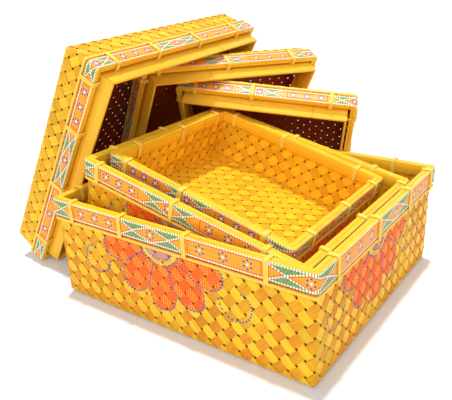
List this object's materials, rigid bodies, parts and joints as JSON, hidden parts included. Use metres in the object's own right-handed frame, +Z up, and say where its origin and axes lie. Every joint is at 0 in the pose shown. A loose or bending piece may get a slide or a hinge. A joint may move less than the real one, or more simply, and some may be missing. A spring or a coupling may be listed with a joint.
{
  "type": "nested bamboo box set with lids",
  "caption": "Nested set of plaited bamboo boxes with painted rims, tipped one inside the other, with their lids leaning together behind them.",
  "frame": {"origin": "middle of the large box's floor, on the surface it stands on", "axes": "+X along the large box's front side, +Y to its back, +Z up; the lids lean at the left and the back"},
  "size_m": [0.4368, 0.4015, 0.2525],
  "materials": {
    "woven_bamboo": "lacquered bamboo strips, satin",
    "painted_bamboo": "painted and lacquered bamboo, gloss",
    "plain_bamboo": "lacquered bamboo, gloss",
    "rattan": "split rattan, satin"
  },
  "bodies": {
    "large_box": {"large_box_woven_shell": "woven_bamboo", "large_box_rim_band": "painted_bamboo", "large_box_rim_slat": "plain_bamboo", "large_box_rim_binding": "rattan"},
    "medium_box": {"medium_box_woven_shell": "woven_bamboo", "medium_box_rim_band": "painted_bamboo", "medium_box_rim_slat": "plain_bamboo", "medium_box_rim_binding": "rattan"},
    "small_box": {"small_box_woven_shell": "woven_bamboo", "small_box_rim_band": "painted_bamboo", "small_box_rim_slat": "plain_bamboo", "small_box_rim_binding": "rattan"},
    "large_lid": {"large_lid_woven_tray": "woven_bamboo", "large_lid_rim_band": "painted_bamboo", "large_lid_rim_slat": "plain_bamboo", "large_lid_rim_binding": "rattan", "large_lid_collar_bottom": "plain_bamboo", "large_lid_collar_right": "plain_bamboo", "large_lid_collar_top": "plain_bamboo", "large_lid_collar_left": "plain_bamboo"},
    "medium_lid": {"medium_lid_woven_tray": "woven_bamboo", "medium_lid_rim_band": "painted_bamboo", "medium_lid_rim_slat": "plain_bamboo", "medium_lid_rim_binding": "rattan", "medium_lid_collar_bottom": "plain_bamboo", "medium_lid_collar_right": "plain_bamboo", "medium_lid_collar_top": "plain_bamboo", "medium_lid_collar_left": "plain_bamboo"},
    "small_lid": {"small_lid_woven_tray": "woven_bamboo", "small_lid_rim_band": "painted_bamboo", "small_lid_rim_slat": "plain_bamboo", "small_lid_rim_binding": "rattan", "small_lid_collar_bottom": "plain_bamboo", "small_lid_collar_right": "plain_bamboo", "small_lid_collar_top": "plain_bamboo", "small_lid_collar_left": "plain_bamboo"}
  },
  "joints": [
    {"name": "small_lid_slide", "type": "slide", "parent": "large_box", "child": "small_lid", "axis": [-0.2812, 0.7809, 0.5577], "range_m": [0, 0.24]},
    {"name": "medium_lid_slide", "type": "slide", "parent": "small_lid", "child": "medium_lid", "axis": [-0.8003, 0.363, 0.4772], "range_m": [0, 0.1]},
    {"name": "large_lid_slide", "type": "slide", "parent": "medium_lid", "child": "large_lid", "axis": [-0.8697, -0.0639, 0.4894], "range_m": [0, 0.12]},
    {"name": "medium_box_lift", "type": "slide", "parent": "large_box", "child": "medium_box", "axis": [0.214, 0, 0.9768], "range_m": [0, 0.12]},
    {"name": "small_box_lift", "type": "slide", "parent": "medium_box", "child": "small_box", "axis": [0.2505, 0, 0.9681], "range_m": [0, 0.072]}
  ],
  "couplings": [
    {"joint": "medium_box_lift", "follows": "small_lid_slide", "ratio": 0.5},
    {"joint": "small_box_lift", "follows": "small_lid_slide", "ratio": 0.3}
  ]
}
